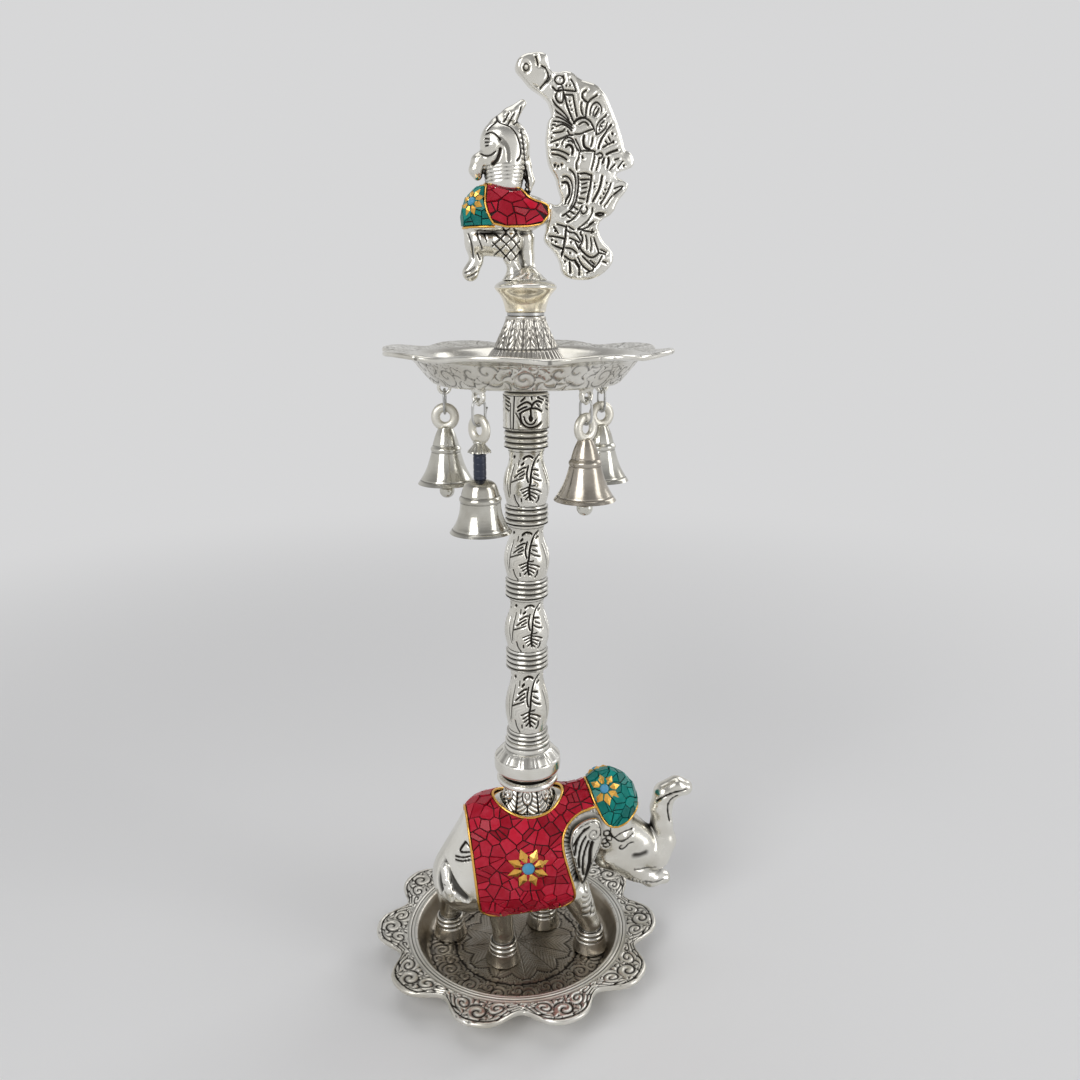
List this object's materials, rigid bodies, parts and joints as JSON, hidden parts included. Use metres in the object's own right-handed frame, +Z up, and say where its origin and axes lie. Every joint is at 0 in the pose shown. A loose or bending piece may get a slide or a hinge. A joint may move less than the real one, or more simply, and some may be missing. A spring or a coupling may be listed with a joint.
{
  "type": "standing oil lamp",
  "caption": "Standing oil lamp: lobed tray, walking elephant with stone-set cloth, turned pillar, lobed bowl with hanging bells and a peacock finial that unscrews.",
  "frame": {"origin": "on the table under the pillar's axis", "axes": "+Z up the pillar, +X the way the elephant walks"},
  "size_m": [0.1451, 0.1262, 0.3775],
  "materials": {
    "silver": "oxidised, bright on the high spots",
    "champagne": "polished, slightly warm",
    "steel": "bright",
    "stone_red": "polished stone chips in dark grout",
    "stone_teal": "polished stone chips in dark grout",
    "gilt": "bright",
    "turquoise": "polished",
    "navy": "dark gloss"
  },
  "bodies": {
    "stand": {"base_tray": "silver", "elephant_screws": "steel", "elephant_body": "silver", "saddle_mosaic": "stone_red", "saddle_border_wire": "gilt", "saddle_petals": "gilt", "saddle_cabochons": "turquoise", "cap_mosaic": "stone_teal", "cap_border_wire": "gilt", "cap_petals": "gilt", "cap_cabochons": "turquoise", "back_collar": "silver", "pillar_foot": "silver", "pillar_section_1": "silver", "pillar_section_2": "silver", "pillar_section_3": "silver", "pillar_section_4": "silver", "pillar_section_5": "silver", "tie_rod": "steel", "bowl_washer": "steel", "bowl_nut": "steel", "oil_bowl": "silver", "lotus_cone": "silver"},
    "finial_ring": {"finial_washer": "silver"},
    "finial": {"finial_cup": "champagne", "finial_pin": "steel", "peacock_body": "silver", "peacock_tail": "silver", "tail_pin": "steel", "peacock_wing_mosaic": "stone_red", "peacock_breast_mosaic": "stone_teal", "peacock_border_wire": "gilt", "peacock_breast_petals": "gilt", "peacock_breast_cabochons": "turquoise"},
    "link_1": {"bell_link_1": "steel"},
    "bell_1": {"bell_1": "silver"},
    "clapper_1": {"bell_clapper_1": "steel"},
    "link_2": {"bell_link_2": "steel"},
    "bell_2": {"bell_2": "silver", "bell_2_neck_sleeve": "navy"},
    "clapper_2": {"bell_clapper_2": "steel"},
    "link_3": {"bell_link_3": "steel"},
    "bell_3": {"bell_3": "champagne"},
    "clapper_3": {"bell_clapper_3": "steel"},
    "link_4": {"bell_link_4": "steel"},
    "bell_4": {"bell_4": "silver"},
    "clapper_4": {"bell_clapper_4": "steel"}
  },
  "joints": [
    {"name": "finial_lift", "type": "slide", "parent": "stand", "child": "finial_ring", "axis": [0, 0, 1], "range_m": [0, 0.0061]},
    {"name": "finial_turn", "type": "hinge", "parent": "finial_ring", "child": "finial", "pos_m": [0, 0, 0.2865], "axis": [0, 0, 1], "range_deg": [0, 2160]},
    {"name": "link_1_swing", "type": "hinge", "parent": "stand", "child": "link_1", "pos_m": [-0.03106, 0.01255, 0.25665], "axis": [0.1736, 0.9848, 0], "range_deg": [-10, 35]},
    {"name": "bell_1_swing", "type": "hinge", "parent": "link_1", "child": "bell_1", "pos_m": [-0.03106, 0.01255, 0.24685], "axis": [0.1736, 0.9848, 0], "range_deg": [-8, 25]},
    {"name": "clapper_1_swing", "type": "hinge", "parent": "bell_1", "child": "clapper_1", "pos_m": [-0.03106, 0.01255, 0.23245], "axis": [0.1736, 0.9848, 0], "range_deg": [-20, 20]},
    {"name": "link_2_swing", "type": "hinge", "parent": "stand", "child": "link_2", "pos_m": [-0.02153, -0.02566, 0.25665], "axis": [0.8192, 0.5736, 0], "range_deg": [-15, 15]},
    {"name": "bell_2_swing", "type": "hinge", "parent": "link_2", "child": "bell_2", "pos_m": [-0.02153, -0.02566, 0.24685], "axis": [0.8192, 0.5736, 0], "range_deg": [-12, 12]},
    {"name": "clapper_2_swing", "type": "hinge", "parent": "bell_2", "child": "clapper_2", "pos_m": [-0.02153, -0.02566, 0.21845], "axis": [0.8192, 0.5736, 0], "range_deg": [-18, 18]},
    {"name": "link_3_swing", "type": "hinge", "parent": "stand", "child": "link_3", "pos_m": [0.01775, -0.02841, 0.25665], "axis": [-0.5299, 0.848, 0], "range_deg": [-12, 12]},
    {"name": "bell_3_swing", "type": "hinge", "parent": "link_3", "child": "bell_3", "pos_m": [0.01775, -0.02841, 0.24685], "axis": [-0.5299, 0.848, 0], "range_deg": [-10, 10]},
    {"name": "clapper_3_swing", "type": "hinge", "parent": "bell_3", "child": "clapper_3", "pos_m": [0.01775, -0.02841, 0.23245], "axis": [-0.5299, 0.848, 0], "range_deg": [-20, 20]},
    {"name": "link_4_swing", "type": "hinge", "parent": "stand", "child": "link_4", "pos_m": [0.0325, 0.0081, 0.25665], "axis": [-0.2419, 0.9703, 0], "range_deg": [-35, 10]},
    {"name": "bell_4_swing", "type": "hinge", "parent": "link_4", "child": "bell_4", "pos_m": [0.0325, 0.0081, 0.24685], "axis": [-0.2419, 0.9703, 0], "range_deg": [-25, 8]},
    {"name": "clapper_4_swing", "type": "hinge", "parent": "bell_4", "child": "clapper_4", "pos_m": [0.0325, 0.0081, 0.23245], "axis": [-0.2419, 0.9703, 0], "range_deg": [-20, 20]}
  ],
  "couplings": [
    {"joint": "finial_lift", "follows": "finial_turn", "m_per_rad": 0.00015915}
  ]
}
